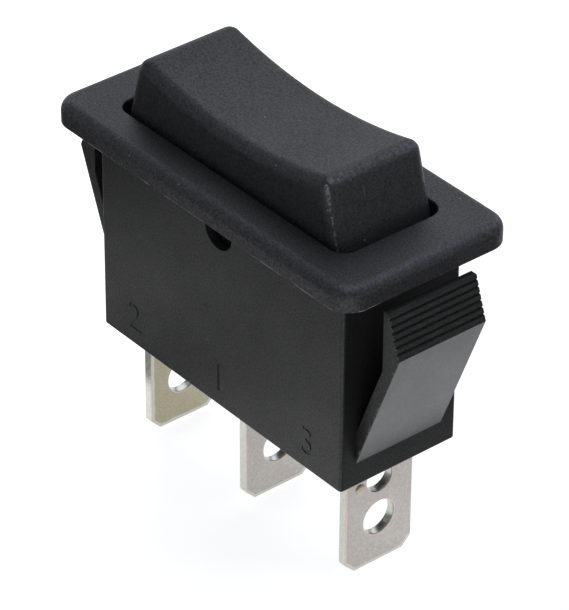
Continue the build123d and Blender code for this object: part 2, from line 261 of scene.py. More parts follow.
def finish_piece(thing, name, node, body, material, crease):
    """Brings a piece from millimetres to metres, evens its shading and puts it in the frame.

    Edges sharper than the crease angle, in degrees, stay sharp.
    """
    activate(thing)
    thing.name = name
    thing.scale = (MM, MM, MM)
    bpy.ops.object.transform_apply(location=True, rotation=True, scale=True)
    bpy.ops.object.shade_smooth_by_angle(angle=radians(crease))
    even = thing.modifiers.new("even", "WEIGHTED_NORMAL")
    even.keep_sharp = True
    bpy.ops.object.modifier_apply(modifier="even")
    thing.data.materials.clear()
    thing.data.materials.append(material)
    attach(thing, body)
    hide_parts(node)


def dress_node(node, material):
    """Gives a CAD node its procedural material."""
    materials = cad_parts[node].data.materials
    materials.clear()
    materials.append(material)


housing_low, housing_high = (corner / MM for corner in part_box("housing"))
body_half_length, body_half_width, body_edge, bottom_edge = 13.9, 5.45, 0.3, 0.08
bezel_half_length, bezel_corner, bezel_edge, bezel_foot_edge = 16.8, 1.9, 0.9, 0.05
cavity_half_length, cavity_half_width, mouth_corner, mouth_rounding = 12.8, 4.75, 1.25, 0.15
chamber_half_length, chamber_half_width, chamber_corner = 12.35, 3.85, 0.4
ledge_height, floor_height = -5.9, housing_low.z + 1.62
pivot_height, pivot_hole_radius = -2.3, 1.54
throw_place, slot_half_thickness, slot_half_width = 11.55, 0.43, 3.205
bezel_half_width, bezel_top, body_bottom = housing_high.y, housing_high.z, housing_low.z

housing = add_block(
    (-body_half_length, -body_half_width, body_bottom),
    (body_half_length, body_half_width, bezel_top / 2))
round_edges(housing, body_edge, 6, upright)
round_edges(housing, bottom_edge, 2, level_at(body_bottom))

mark_height, mark_depth, mark_rise, mark_thinning = 3.4, 0.05, 1.35, -0.015
for mark, place in (("2", -10.0), ("1", 0.0), ("3", 10.2)):
    bpy.ops.object.select_all(action="DESELECT")
    bpy.ops.object.text_add()
    number = bpy.context.object
    number.data.body = mark
    number.data.align_x = "CENTER"
    number.data.size = mark_height
    number.data.offset = mark_thinning
    number.data.extrude = mark_depth
    number.data.resolution_u = 4
    bpy.ops.object.convert(target="MESH")
    bpy.ops.object.mode_set(mode="EDIT")
    close_mesh()
    bpy.ops.object.mode_set(mode="OBJECT")
    number.rotation_euler = (pi / 2, 0, 0)
    number.location = (place, -body_half_width, body_bottom + mark_rise)
    bpy.ops.object.transform_apply(location=True, rotation=True, scale=True)
    change(housing, number, "DIFFERENCE")

bezel = add_block(
    (-bezel_half_length, -bezel_half_width, 0), (bezel_half_length, bezel_half_width, bezel_top))
round_edges(bezel, bezel_corner, 14, upright)
round_edges(bezel, bezel_edge, 9, level_at(bezel_top))
round_edges(bezel, bezel_foot_edge, 2, level_at(0))
change(housing, bezel, "UNION")

wing_half_width, wing_root_rise, wing_ridge_depth = 4.05, 2.0, 4.45
wing_tip_out, wing_tip_depth, wing_tip_flat, wing_arm = 3.16, 0.95, 0.55, 1.1
wing_sunk, wing_tip_edge, wing_side_edge = 0.5, 0.24, 0.05
groove_count, groove_depth, groove_width = 6, 0.18, 0.22


def wing(side):
    """A sprung arm that leans out of the end wall, with a grooved head above its bend."""
    root = Vector((body_half_length, body_bottom + wing_root_rise))
    ridge = Vector((housing_high.x, -wing_ridge_depth))
    tip = Vector((body_half_length + wing_tip_out, -wing_tip_depth))
    lean = (ridge.x - root.x) / (ridge.y - root.y)
    crotch = Vector((root.x, root.y + wing_arm / lean))
    head = Vector((tip.x - wing_tip_flat, crotch.y + (tip.x - wing_tip_flat - root.x) / lean))
    inside = body_half_length - wing_sunk
    corners = [
        (inside, root.y), root, ridge, tip, (head.x, tip.y), head, crotch, (inside, crotch.y)]
    arm = draw_out([(side * x, z) for x, z in corners], "Y", -wing_half_width, wing_half_width)

    def side_edge(a, b):
        """Picks the edges of both side faces, but not where the arm is sunk in the wall."""
        return abs(a.y - b.y) < TOUCH and abs(a.x) + abs(b.x) > 2 * inside + 0.1

    round_edges(arm, wing_tip_edge, 6, level_at(tip.y))
    round_edges(arm, wing_side_edge, 2, side_edge)
    run = tip - ridge
    out = Vector((run.y, -run.x)).normalized()
    half = run.normalized() * (groove_width / 2)
    for number in range(1, groove_count + 1):
        middle = ridge + run * (number / (groove_count + 1))
        above = middle + out * groove_depth
        valley = [above + half * 2, above - half * 2, middle - out * groove_depth]
        valley = [(side * x, z) for x, z in valley]
        groove = draw_out(valley, "Y", -wing_half_width - PAST, wing_half_width + PAST)
        change(arm, groove, "DIFFERENCE")
    return arm


for side in (-1, 1):
    change(housing, wing(side), "UNION")

cavity = add_block(
    (-cavity_half_length, -cavity_half_width, ledge_height),
    (cavity_half_length, cavity_half_width, bezel_top + PAST))
round_edges(cavity, mouth_corner, 10, upright)
change(housing, cavity, "DIFFERENCE")
chamber = add_block(
    (-chamber_half_length, -chamber_half_width, floor_height),
    (chamber_half_length, chamber_half_width, ledge_height + PAST))
round_edges(chamber, chamber_corner, 6, upright)
change(housing, chamber, "DIFFERENCE")
side_reach = Vector((0, body_half_width + PAST, 0))
pivot_centre = Vector((0, 0, pivot_height))
pivot_hole = add_rod(
    pivot_hole_radius, pivot_centre - side_reach, pivot_centre + side_reach, "Y", 64)
change(housing, pivot_hole, "DIFFERENCE")
for place in (-throw_place, 0, throw_place):
    slot = add_block(
        (place - slot_half_thickness, -slot_half_width, body_bottom - PAST),
        (place + slot_half_thickness, slot_half_width, floor_height + PAST))
    change(housing, slot, "DIFFERENCE")


def on_mouth(a, b):
    """The edge between the bezel's flat top and the mouth."""
    return level_at(bezel_top)(a, b) \
        and max(abs(a.x), abs(b.x)) < cavity_half_length + TOUCH \
        and max(abs(a.y), abs(b.y)) < cavity_half_width + TOUCH


round_edges(housing, mouth_rounding, 6, on_mouth)


def wire(tree, kind, options, inputs):
    """Adds a shader node, sets its options, and fills its inputs with numbers or links."""
    node = tree.nodes.new("ShaderNode" + kind)
    for name, value in options.items():
        setattr(node, name, value)
    for name, value in inputs.items():
        if isinstance(value, bpy.types.NodeSocket):
            tree.links.new(value, node.inputs[name])
        else:
            node.inputs[name].default_value = value
    return node


def start_group(name, inputs, outputs):
    """An empty node group with named inputs and outputs."""
    group = bpy.data.node_groups.new(name, "ShaderNodeTree")
    for label, value in inputs.items():
        socket = group.interface.new_socket(label, in_out="INPUT", socket_type="NodeSocketFloat")
        socket.default_value = value
    for label, kind in outputs.items():
        group.interface.new_socket(label, in_out="OUTPUT", socket_type="NodeSocket" + kind)
    return group, group.nodes.new("NodeGroupInput"), group.nodes.new("NodeGroupOutput")


def blend(tree, factor, low, high):
    """A colour that goes from one to another with a mask."""
    mix = tree.nodes.new("ShaderNodeMix")
    mix.data_type = "RGBA"
    for socket, value in zip((mix.inputs[0], mix.inputs[6], mix.inputs[7]), (factor, low, high)):
        if isinstance(value, bpy.types.NodeSocket):
            tree.links.new(value, socket)
        else:
            socket.default_value = (*value, 1) if isinstance(value, tuple) else value
    return mix.outputs[2]


def spread(tree, value, low, high, to_low, to_high):
    """Stretches part of a mask's range over another range, and stops at its ends."""
    return wire(tree, "MapRange", {}, {
        "Value": value, "From Min": low, "From Max": high, "To Min": to_low, "To Max": to_high,
    }).outputs[0]


def figure(tree, operation, first, second=0.0):
    """One step of arithmetic on masks and places."""
    return wire(tree, "Math", {"operation": operation}, {0: first, 1: second}).outputs[0]


def apart(tree, one, other):
    """How far two places are from each other, whichever is the greater."""
    return figure(tree, "ABSOLUTE", figure(tree, "SUBTRACT", one, other))


def noise(tree, place, scale, detail, roughness):
    """A cloudy mask. The scale is the number of its features per unit of the place."""
    return wire(tree, "TexNoise", {}, {
        "Vector": place, "Scale": scale, "Detail": detail, "Roughness": roughness}).outputs["Fac"]


def place_in_mm(tree):
    """The place on the piece in millimetres: as one vector, and as X, Y and Z."""
    place = wire(tree, "TexCoord", {}, {}).outputs["Object"]
    scaled = wire(tree, "VectorMath", {"operation": "SCALE"}, {"Vector": place, "Scale": 1000.0})
    return scaled.outputs[0], wire(tree, "SeparateXYZ", {}, {0: scaled.outputs[0]}).outputs


# The skin of a moulding: fine grain from the spark-eroded mould, slow cloudiness from the
# flow of the melt, and a few bright specks of dust. Its sizes are in millimetres.
moulded_skin, given, result = start_group(
    "moulded_skin",
    {"Grain Size": 0.14, "Cloud Size": 3.0, "Speck Spacing": 5.0, "Speck Size": 0.05},
    {"Grain": "Float", "Cloud": "Float", "Specks": "Float"})
on_piece = wire(moulded_skin, "TexCoord", {}, {}).outputs["Object"]
grain_scale, cloud_scale, speck_scale = (
    figure(moulded_skin, "DIVIDE", 1000.0, given.outputs[label])
    for label in ("Grain Size", "Cloud Size", "Speck Spacing"))
fine = noise(moulded_skin, on_piece, grain_scale, 3.0, 0.75)
slow = noise(moulded_skin, on_piece, cloud_scale, 3.0, 0.55)
dots = wire(moulded_skin, "TexVoronoi", {}, {
    "Vector": on_piece, "Scale": speck_scale, "Randomness": 1.0}).outputs["Distance"]
dot_reach = figure(
    moulded_skin, "DIVIDE", given.outputs["Speck Size"], given.outputs["Speck Spacing"])
for label, mask in (
        ("Grain", spread(moulded_skin, fine, 0.38, 0.62, 0, 1)),
        ("Cloud", spread(moulded_skin, slow, 0.3, 0.7, 0, 1)),
        ("Specks", figure(moulded_skin, "LESS_THAN", dots, dot_reach))):
    moulded_skin.links.new(mask, result.inputs[label])


def moulded_plastic(name, dark, light, rough, skin, bump, gloss):
    """A moulded polymer: grain in its colour and height, cloudiness in its gloss, and specks.

    The three parts of rough are its least and greatest roughness, and the share of the grain
    in it. The bump is the height of the grain in metres.
    """
    material = bpy.data.materials.new(name)
    material.use_nodes = True
    tree = material.node_tree
    shader = tree.nodes["Principled BSDF"]
    shader.inputs["Specular IOR Level"].default_value = gloss
    skin_node = wire(tree, "Group", {"node_tree": moulded_skin}, skin)
    grain, cloud, specks = (skin_node.outputs[label] for label in ("Grain", "Cloud", "Specks"))
    tone = blend(tree, grain, dark, light)
    dust = (0.30, 0.29, 0.27)
    tree.links.new(blend(tree, specks, tone, dust), shader.inputs["Base Color"])
    least, greatest, share = rough
    even = figure(
        tree, "ADD", spread(tree, cloud, 0, 1, 0, greatest - least),
        spread(tree, grain, 0, 1, least + share, least - share))
    tree.links.new(even, shader.inputs["Roughness"])
    relief = wire(tree, "Bump", {}, {"Height": grain, "Distance": bump, "Strength": 1.0})
    tree.links.new(relief.outputs[0], shader.inputs["Normal"])
    return material


def paint_over(material, mask, colour):
    """Covers the masked part of a material's colour with another one."""
    tree = material.node_tree
    socket = tree.nodes["Principled BSDF"].inputs["Base Color"]
    tree.links.new(blend(tree, mask, socket.links[0].from_socket, colour), socket)


# A painted highlight along a rounded edge: a line with a soft border, broken up by the grain.
highlight_line, given, result = start_group(
    "highlight_line",
    {"Off Line": 0.0, "Width": 0.5, "Grit Scale": 4.0, "Grit Spread": 0.1, "Least": 0.0},
    {"Mask": "Float"})
place, _ = place_in_mm(highlight_line)
grit = noise(highlight_line, place, given.outputs["Grit Scale"], 2.0, 0.7)
lowest = figure(highlight_line, "SUBTRACT", 0.5, given.outputs["Grit Spread"])
highest = figure(highlight_line, "ADD", 0.5, given.outputs["Grit Spread"])
grit = spread(highlight_line, grit, lowest, highest, given.outputs["Least"], 1)
line = spread(highlight_line, given.outputs["Off Line"], 0, given.outputs["Width"], 1, 0)
highlight_line.links.new(figure(highlight_line, "MULTIPLY", line, grit), result.inputs["Mask"])

bezel_plastic = moulded_plastic(
    "bezel_plastic", (0.001, 0.001, 0.001), (0.037, 0.036, 0.039), (0.46, 0.52, 0.08),
    {"Grain Size": 0.17, "Speck Spacing": 1.5}, 1.2e-5, 0.5)
body_plastic = moulded_plastic(
    "body_plastic", (0.006, 0.006, 0.006), (0.030, 0.030, 0.028), (0.42, 0.50, 0.06),
    {"Grain Size": 0.16, "Speck Spacing": 2.4}, 5e-6, 0.37)
wing_plastic = moulded_plastic(
    "wing_plastic", (0.004, 0.004, 0.004), (0.026, 0.028, 0.027), (0.26, 0.32, 0.02),
    {"Grain Size": 0.12, "Speck Spacing": 4.0}, 1e-6, 0.48)
# A darker, duller copy of the body's plastic for the upright end faces: painted shade, where the
# wings and the bezel shade them.
shaded_end_plastic = moulded_plastic(
    "shaded_end_plastic", (0.005, 0.005, 0.005), (0.014, 0.014, 0.014), (0.50, 0.56, 0.06),
    {"Grain Size": 0.16, "Speck Spacing": 2.4}, 5e-6, 0.25)
# The wings have a slightly green shine, which they lose towards their roots.
root_height, dull_length = body_bottom + wing_root_rise, 3.2
tree = wing_plastic.node_tree
shader = tree.nodes["Principled BSDF"]
shader.inputs["Specular Tint"].default_value = (0.92, 1.0, 0.98, 1)
_, (_, _, height) = place_in_mm(tree)
shine = spread(tree, height, root_height, root_height + dull_length, 0.24, 0.48)
tree.links.new(shine, shader.inputs["Specular IOR Level"])
# Small painted glints on burrs run down the wings' long corners, where their sides meet the outer
# faces.
tree = body_plastic.node_tree
place, (along, across, height) = place_in_mm(tree)
ridge_out = housing_high.x - body_half_length
below_ridge = spread(
    tree, height, root_height, -wing_ridge_depth, body_half_length, housing_high.x)
above_ridge = spread(
    tree, height, -wing_ridge_depth, -wing_tip_depth, 0, wing_tip_out - ridge_out)
outer_face = figure(tree, "ADD", below_ridge, above_ridge)
off_face = apart(tree, outer_face, figure(tree, "ABSOLUTE", along))
off_side = apart(tree, wing_half_width, figure(tree, "ABSOLUTE", across))
burr_glints = spread(tree, noise(tree, place, 2.6, 2.0, 0.6), 0.50, 0.60, 0, 1)
burr_glints = figure(tree, "MULTIPLY", burr_glints, spread(tree, off_face, 0.08, 0.24, 1, 0))
burr_glints = figure(tree, "MULTIPLY", burr_glints, spread(tree, off_side, 0.03, 0.09, 1, 0))
paint_over(body_plastic, burr_glints, (0.11, 0.11, 0.10))
# A painted highlight along the bezel's rounded rim, strongest at its corners.
tree = bezel_plastic.node_tree
place, (along, across, height) = place_in_mm(tree)
past_x, past_y = (
    figure(tree, "SUBTRACT", figure(tree, "ABSOLUTE", way), half - bezel_corner)
    for way, half in ((along, bezel_half_length), (across, bezel_half_width)))
past_x, past_y = (figure(tree, "MAXIMUM", past) for past in (past_x, past_y))
in_plan = wire(tree, "CombineXYZ", {}, {0: past_x, 1: past_y}).outputs[0]
outward = wire(tree, "VectorMath", {"operation": "LENGTH"}, {0: in_plan}).outputs["Value"]
outward = figure(tree, "SUBTRACT", outward, bezel_corner - bezel_edge)
upward = figure(tree, "SUBTRACT", height, bezel_top - bezel_edge)
highlight_lift, highlight_width = 0.4, 0.5
off_rim = apart(tree, upward, figure(tree, "ADD", outward, highlight_lift))
at_end = spread(tree, past_x, 0.3, 1.2, 0.08, 0.5)
at_corner = spread(tree, figure(tree, "MINIMUM", past_x, past_y), 0.1, 1.1, 0, 0.4)
edge_highlight = wire(tree, "Group", {"node_tree": highlight_line}, {
    "Off Line": off_rim, "Width": highlight_width, "Grit Scale": 4.0, "Grit Spread": 0.12,
    "Least": 0.3})
edge_highlight = figure(tree, "MULTIPLY", edge_highlight.outputs["Mask"], figure(tree, "ADD", at_end, at_corner))
paint_over(bezel_plastic, edge_highlight, (0.15, 0.16, 0.21))
# A thin broken line of mould flash along the bezel's lower edge, painted light as the highlight
# that it catches.
flash_highlight_inset = 0.12
past_long_side, past_end = (
    figure(tree, "SUBTRACT", figure(tree, "ABSOLUTE", way), half - flash_highlight_inset)
    for way, half in ((across, bezel_half_width), (along, bezel_half_length)))
rim = figure(tree, "MAXIMUM", past_long_side, past_end)
flash_highlight = figure(
    tree, "MULTIPLY", spread(tree, height, 0.10, 0.04, 0, 1), spread(tree, rim, 0, 0.02, 0, 1))
broken = spread(tree, noise(tree, place, 0.45, 4.0, 0.7), 0.50, 0.58, 0, 1)
paint_over(bezel_plastic, figure(tree, "MULTIPLY", flash_highlight, broken), (0.30, 0.29, 0.26))
finish_piece(housing, "moulded_housing", "housing", "housing", bezel_plastic, 17)
for finish in (body_plastic, wing_plastic, shaded_end_plastic):
    housing.data.materials.append(finish)
# Slot 1 is for the body, 2 for the wings' lower faces, and 3 for the upright end faces, whose
# darker copy of the plastic is painted shade.
below_bezel, end_facing, tilted = -0.01, 0.8, 0.2
for face in housing.data.polygons:
    if face.center.z < below_bezel * MM:
        face.material_index = 1
        if abs(face.normal.x) > end_facing and face.normal.z < tilted:
            face.material_index = 2 if face.normal.z < -tilted else 3
dress_node("housing", body_plastic)


# ------------------------------------------------------------------ rocker
# The dished lever: a hollow moulding in spark-eroded black polyamide. Two stub pins snap into
# the housing's side walls, and a tube under its middle guides the plunger and its spring.
rocker_reach, rocker_half_width, rocker_rounding = 12.6, 4.5, 0.95
dip_height, dish_radius, end_draft = 5.45, 40.0, radians(15.3)
skirt_drop, full_tilt = 3.5, radians(11)
shell_top_wall, shell_side_wall, hollow_angle = 1.2, 0.95, radians(-28.8)
guide_radius, guide_bore, guide_low, guide_high, bore_top = 2.26, 1.56, -8.1, 4.85, 3.3
web_half_thickness, web_reach, web_cross_reach = 0.4, 5.6, 4.025
pin_radius, pin_reach, pin_toe = 1.45, 5.2, 4.6
crest_start, crest_bottom = 10.45, 6.8


def arc_points(centre, radius, start, end, count):
    """Corners along a circle in the XZ plane, by the angle above +X."""
    angles = (start + (end - start) * step / count for step in range(count + 1))
    return [(centre.x + radius * cos(angle), centre.y + radius * sin(angle)) for angle in angles]


def lever_outline(wall, lowest_angle, below):
    """Long section of the lever, moved in by a wall, from its lower corner to its dished top."""
    reach, dish = rocker_reach - wall, dish_radius + wall
    pivot, dish_centre = Vector((0, pivot_height)), Vector((0, dip_height - wall + dish))
    end = arc_points(pivot, reach, lowest_angle, end_draft, 8)
    foot = Vector(end[-1])
    lean = Vector((-sin(end_draft), cos(end_draft)))
    reach_over = (foot - dish_centre).dot(lean)
    to_crest = -reach_over - sqrt(reach_over ** 2 - (foot - dish_centre).length_squared + dish ** 2)
    crest = foot + lean * to_crest
    half_dish = asin(crest.x / dish)
    # The dish's steps start a little below the crest, where they leave its rounding room.
    first = half_dish - 1.06 * rocker_rounding / dish
    inside = arc_points(dish_centre, dish, -pi / 2 + first, -pi / 2, 18)[:-1]
    right_side = end + [tuple(crest)] + inside
    left_side = [(-x, z) for x, z in reversed(right_side)]
    return below + right_side + [(0, dip_height - wall)] + left_side


skirt_angle = full_tilt - asin(skirt_drop / rocker_reach)
skirt_middle = [(0, pivot_height - skirt_drop / cos(full_tilt))]
rocker = draw_out(
    lever_outline(0, skirt_angle, skirt_middle), "Y", -rocker_half_width, rocker_half_width)


def outside_edge(a, b):
    """The crown's rim and the upright corners of the lever, but not its lower edges."""
    lengthwise = abs(a.y - b.y) < TOUCH
    crown = min(a.z, b.z) > dip_height - 0.1
    corner = min(abs(a.x), abs(b.x)) > crest_start
    crest = not lengthwise and abs(a.x) > crest_start and a.z > crest_bottom
    return lengthwise and (crown or corner) or crest


round_edges(rocker, rocker_rounding, 9, outside_edge)
hollow_half = rocker_half_width - shell_side_wall
hollow = draw_out(
    lever_outline(shell_top_wall, hollow_angle, []), "Y", -hollow_half, hollow_half)
change(rocker, hollow, "DIFFERENCE")
guide = add_rod(guide_radius, Vector((0, 0, guide_low)), Vector((0, 0, guide_high)), "Z", 48)
change(rocker, guide, "UNION")
for reach_x, reach_y in ((web_reach, web_half_thickness), (web_half_thickness, web_cross_reach)):
    web = add_block((-reach_x, -reach_y, pivot_height), (reach_x, reach_y, guide_high))
    change(rocker, web, "UNION")
bore = add_rod(guide_bore, Vector((0, 0, guide_low - PAST)), Vector((0, 0, bore_top)), "Z", 48)
change(rocker, bore, "DIFFERENCE")
for side in (-1, 1):
    root, end = (Vector((0, side * y, pivot_height)) for y in (hollow_half + 0.1, pin_reach))
    low, high = sorted((root, end), key=lambda point: point.y)
    pin = add_rod(pin_radius, low, high, "Y", 48)
    slant = Vector((0, side * pin_radius, -(pin_reach - pin_toe)))
    activate(pin)
    bpy.ops.object.mode_set(mode="EDIT")
    bpy.ops.mesh.select_all(action="SELECT")
    bpy.ops.mesh.bisect(plane_co=end, plane_no=slant, use_fill=True, clear_outer=True)
    bpy.ops.object.mode_set(mode="OBJECT")
    change(rocker, pin, "UNION")
rocker_plastic = moulded_plastic(
    "rocker_plastic", (0.001, 0.001, 0.001), (0.0285, 0.029, 0.0315), (0.46, 0.52, 0.08),
    {"Grain Size": 0.17, "Speck Spacing": 1.5}, 1.2e-5, 0.5)
# Painted highlights along the upright corners and the crests: gritty lines where the rounded edges
# catch the light.
tree = rocker_plastic.node_tree
_, (along, across, height) = place_in_mm(tree)
in_section = wire(tree, "CombineXYZ", {}, {0: along, 2: height}).outputs[0]
from_dish = wire(tree, "VectorMath", {"operation": "DISTANCE"}, {
    0: in_section, 1: (0, 0, dip_height + dish_radius)}).outputs["Value"]
below_top = figure(tree, "SUBTRACT", from_dish, dish_radius)
end_face = rocker_reach + pivot_height * sin(end_draft)
outwards = figure(tree, "MULTIPLY", figure(tree, "ABSOLUTE", along), cos(end_draft))
upwards = figure(tree, "MULTIPLY", height, sin(end_draft))
behind_end = figure(tree, "SUBTRACT", end_face, figure(tree, "ADD", outwards, upwards))
off_middle = figure(tree, "ABSOLUTE", across)
behind_side = figure(tree, "SUBTRACT", rocker_half_width, off_middle)


def painted_edge_highlight(one, other, width, least):
    """A painted highlight: a gritty line along the middle of the rounding between two faces."""
    near = figure(tree, "LESS_THAN", figure(tree, "ADD", one, other), 0.75 * rocker_rounding)
    edge_highlight = wire(tree, "Group", {"node_tree": highlight_line}, {
        "Off Line": apart(tree, one, other), "Width": width, "Grit Scale": 3.6,
        "Grit Spread": 0.08, "Least": least})
    return figure(tree, "MULTIPLY", edge_highlight.outputs["Mask"], near)


high_up = spread(tree, height, 1.5, 6.2, 0, 1)
corner_width = spread(tree, high_up, 0.6, 1, 0.18, 0.34)
corner_line = figure(
    tree, "MULTIPLY", painted_edge_highlight(behind_end, behind_side, corner_width, 0),
    spread(tree, high_up, 0, 1, 0.5, 1))
crest_line = figure(
    tree, "MULTIPLY", painted_edge_highlight(below_top, behind_end, 0.7, 0.25),
    spread(tree, off_middle, 1, rocker_half_width - 0.5, 0.28, 0.62))
painted_highlights = figure(tree, "MAXIMUM", corner_line, crest_line)
paint_over(rocker_plastic, painted_highlights, (0.24, 0.255, 0.30))
# One fine scratch on the near end.
scratch_across, scratch_height = -1.3, 5.03
beside = spread(tree, apart(tree, across, scratch_across), 0.02, 0.07, 0.5, 0)
in_reach = spread(tree, apart(tree, height, scratch_height), 0.3, 0.55, 1, 0)
scratch = figure(tree, "MULTIPLY", beside, in_reach)
near_end = figure(tree, "GREATER_THAN", along, rocker_reach / 2)
paint_over(rocker_plastic, figure(tree, "MULTIPLY", scratch, near_end), (0.12, 0.11, 0.10))
finish_piece(rocker, "dished_rocker", "rocker", "rocker", rocker_plastic, 28)
dress_node("rocker", rocker_plastic)


# ------------------------------------------------------------------ terminals
# Three blades stamped from tinned brass strip 0.8 mm thick. The end blades are folded in over
# the floor, and the middle one stands on its shoulders and carries the rocking contact.
blade_half_thickness, blade_half_width, blade_corner, blade_bevel = 0.4, 3.175, 1.05, 0.2
blade_tip, blade_edge = floor_level / MM, 0.10
blade_holes = ((4.1, 1.45), (7.72, 1.2))
dimple_rise, dimple_side, dimple_radius, dimple_height = 7.5, 1.85, 0.42, 0.15
dimple_sunk, dimple_edge = 0.2, 0.145
fold_radius, foot_end = 0.3, 6.57
shoulder_half, shoulder_rise = 3.8, 2.2
ear_inner, ear_outer, fulcrum_height, ear_rise = 2.15, 2.95, -12.87, 1.4


def punch_blade(blade, place):
    """Chamfers the tip, punches both holes and breaks the sharp edges of the strip."""
    def tip_corner(a, b):
        return abs(a.x - b.x) > blade_half_thickness and max(a.z, b.z) < blade_tip + TOUCH

    def tip_edge(a, b):
        return level_at(blade_tip)(a, b) and abs(a.x - b.x) < TOUCH

    def strip_edge(a, b):
        on_face = min(abs(abs(v.x - place) - blade_half_thickness) for v in (a, b)) < TOUCH
        return on_face and abs(a.x - b.x) < TOUCH \
            and (a.z + b.z) / 2 < floor_height - 10 * TOUCH \
            and min(a.z, b.z) > blade_tip + blade_bevel + TOUCH

    round_edges(blade, blade_corner, 1, tip_corner)
    round_edges(blade, blade_bevel, 1, tip_edge)
    reach = Vector((PAST, 0, 0))
    for rise, radius in blade_holes:
        middle = Vector((place, 0, blade_tip + rise))
        punch = add_rod(radius, middle - reach, middle + reach, "X", 64)
        change(blade, punch, "DIFFERENCE")
    round_edges(blade, blade_edge, 2, strip_edge)


def folded_terminal(side):
    """An end blade: its top is bent inwards and runs on as the foot of the fixed contact."""
    place = side * throw_place
    blade = add_block(
        (place - blade_half_thickness, -blade_half_width, blade_tip),
        (place + blade_half_thickness, blade_half_width, floor_height - fold_radius))
    bpy.ops.object.mode_set(mode="EDIT")
    bpy.ops.mesh.select_mode(type="FACE")
    bpy.ops.mesh.select_all(action="DESELECT")
    mesh = bmesh.from_edit_mesh(blade.data)
    for face in mesh.faces:
        face.select_set(face.normal.z > 0.9)
    bmesh.update_edit_mesh(blade.data)
    hinge = (place - side * (blade_half_thickness + fold_radius), 0, floor_height - fold_radius)
    bpy.ops.mesh.spin(steps=10, angle=pi / 2, center=hinge, axis=(0, side, 0))
    reach = abs(hinge[0]) - foot_end
    bpy.ops.mesh.extrude_region_move(TRANSFORM_OT_translate={"value": (-side * reach, 0, 0)})
    close_mesh()
    bpy.ops.object.mode_set(mode="OBJECT")
    punch_blade(blade, place)
    crown, base = (
        place + side * (blade_half_thickness + rise) for rise in (dimple_height, -dimple_sunk))
    low, high = (
        Vector((x, -side * dimple_side, blade_tip + dimple_rise)) for x in sorted((base, crown)))
    dimple = add_rod(dimple_radius, low, high, "X", 24)

    def crown_edge(a, b):
        return abs(a.x - crown) < TOUCH and abs(b.x - crown) < TOUCH

    round_edges(dimple, dimple_edge, 4, crown_edge)
    change(blade, dimple, "UNION")
    return blade


rocking_edge = blade_half_thickness - 0.01
half_outline = [
    (blade_half_width, blade_tip), (blade_half_width, floor_height), (shoulder_half, floor_height),
    (shoulder_half, floor_height + shoulder_rise), (ear_outer, floor_height + shoulder_rise),
    (ear_outer, fulcrum_height + ear_rise), (ear_inner, fulcrum_height + ear_rise),
    (ear_inner, fulcrum_height)]
common = draw_out(
    half_outline + [(-y, z) for y, z in reversed(half_outline)],
    "X", -blade_half_thickness, blade_half_thickness)
ear_reach = Vector((0, ear_inner + 0.05, 0))
fulcrum = Vector((0, 0, fulcrum_height))
round_top = add_rod(rocking_edge, fulcrum - ear_reach, fulcrum + ear_reach, "Y", 40)
change(common, round_top, "UNION")
punch_blade(common, 0)


# The skin of rolled and plated strip: crystals of tin and slow tarnish, by their sizes in
# millimetres.
plated_skin, given, result = start_group(
    "plated_skin", {"Grain Size": 0.18, "Stain Size": 1.6}, {"Grain": "Float", "Stain": "Float"})
on_piece = wire(plated_skin, "TexCoord", {}, {}).outputs["Object"]
crystal_scale, stain_scale = (
    figure(plated_skin, "DIVIDE", 1000.0, given.outputs[label])
    for label in ("Grain Size", "Stain Size"))
crystals = noise(plated_skin, on_piece, crystal_scale, 2.0, 0.6)
stains = noise(plated_skin, on_piece, stain_scale, 3.0, 0.6)
plated_skin.links.new(spread(plated_skin, crystals, 0.3, 0.7, 0, 1), result.inputs["Grain"])
plated_skin.links.new(spread(plated_skin, stains, 0.35, 0.65, 0, 1), result.inputs["Stain"])


def plated_metal(name, dull, bright, stain, rough, bump):
    """Metal whose colour varies with its crystals and its tarnish.

    The roughness goes from one value to another with the crystals. The bump is in metres.
    """
    material = bpy.data.materials.new(name)
    material.use_nodes = True
    tree = material.node_tree
    shader = tree.nodes["Principled BSDF"]
    shader.inputs["Metallic"].default_value = 1.0
    skin_node = wire(tree, "Group", {"node_tree": plated_skin}, {})
    grain, tarnish = (skin_node.outputs[label] for label in ("Grain", "Stain"))
    metal = blend(tree, grain, dull, bright)
    tarnished = blend(tree, grain, stain, metal)
    tree.links.new(blend(tree, tarnish, tarnished, metal), shader.inputs["Base Color"])
    tree.links.new(spread(tree, grain, 0, 1, *rough), shader.inputs["Roughness"])
    relief = wire(tree, "Bump", {}, {"Height": grain, "Distance": bump, "Strength": 1.0})
    tree.links.new(relief.outputs[0], shader.inputs["Normal"])
    return material


bright_tin = plated_metal(
    "bright_tin", (0.39, 0.37, 0.35), (0.51, 0.485, 0.455), (0.42, 0.36, 0.33), (0.32, 0.42), 4e-6)
aged_tin = plated_metal(
    "aged_tin", (0.34, 0.32, 0.24), (0.43, 0.41, 0.31), (0.36, 0.31, 0.20), (0.34, 0.44), 4e-6)
sheared_edge = plated_metal(
    "sheared_edge", (0.54, 0.56, 0.51), (0.66, 0.67, 0.62), (0.50, 0.51, 0.45), (0.26, 0.36), 3e-6)
bare_edge = plated_metal(
    "bare_edge", (0.58, 0.47, 0.42), (0.68, 0.56, 0.50), (0.56, 0.50, 0.46), (0.34, 0.44), 4e-6)
worn_dimple = plated_metal(
    "worn_dimple", (0.54, 0.48, 0.39), (0.68, 0.62, 0.52), (0.60, 0.48, 0.40), (0.50, 0.60), 4e-6)
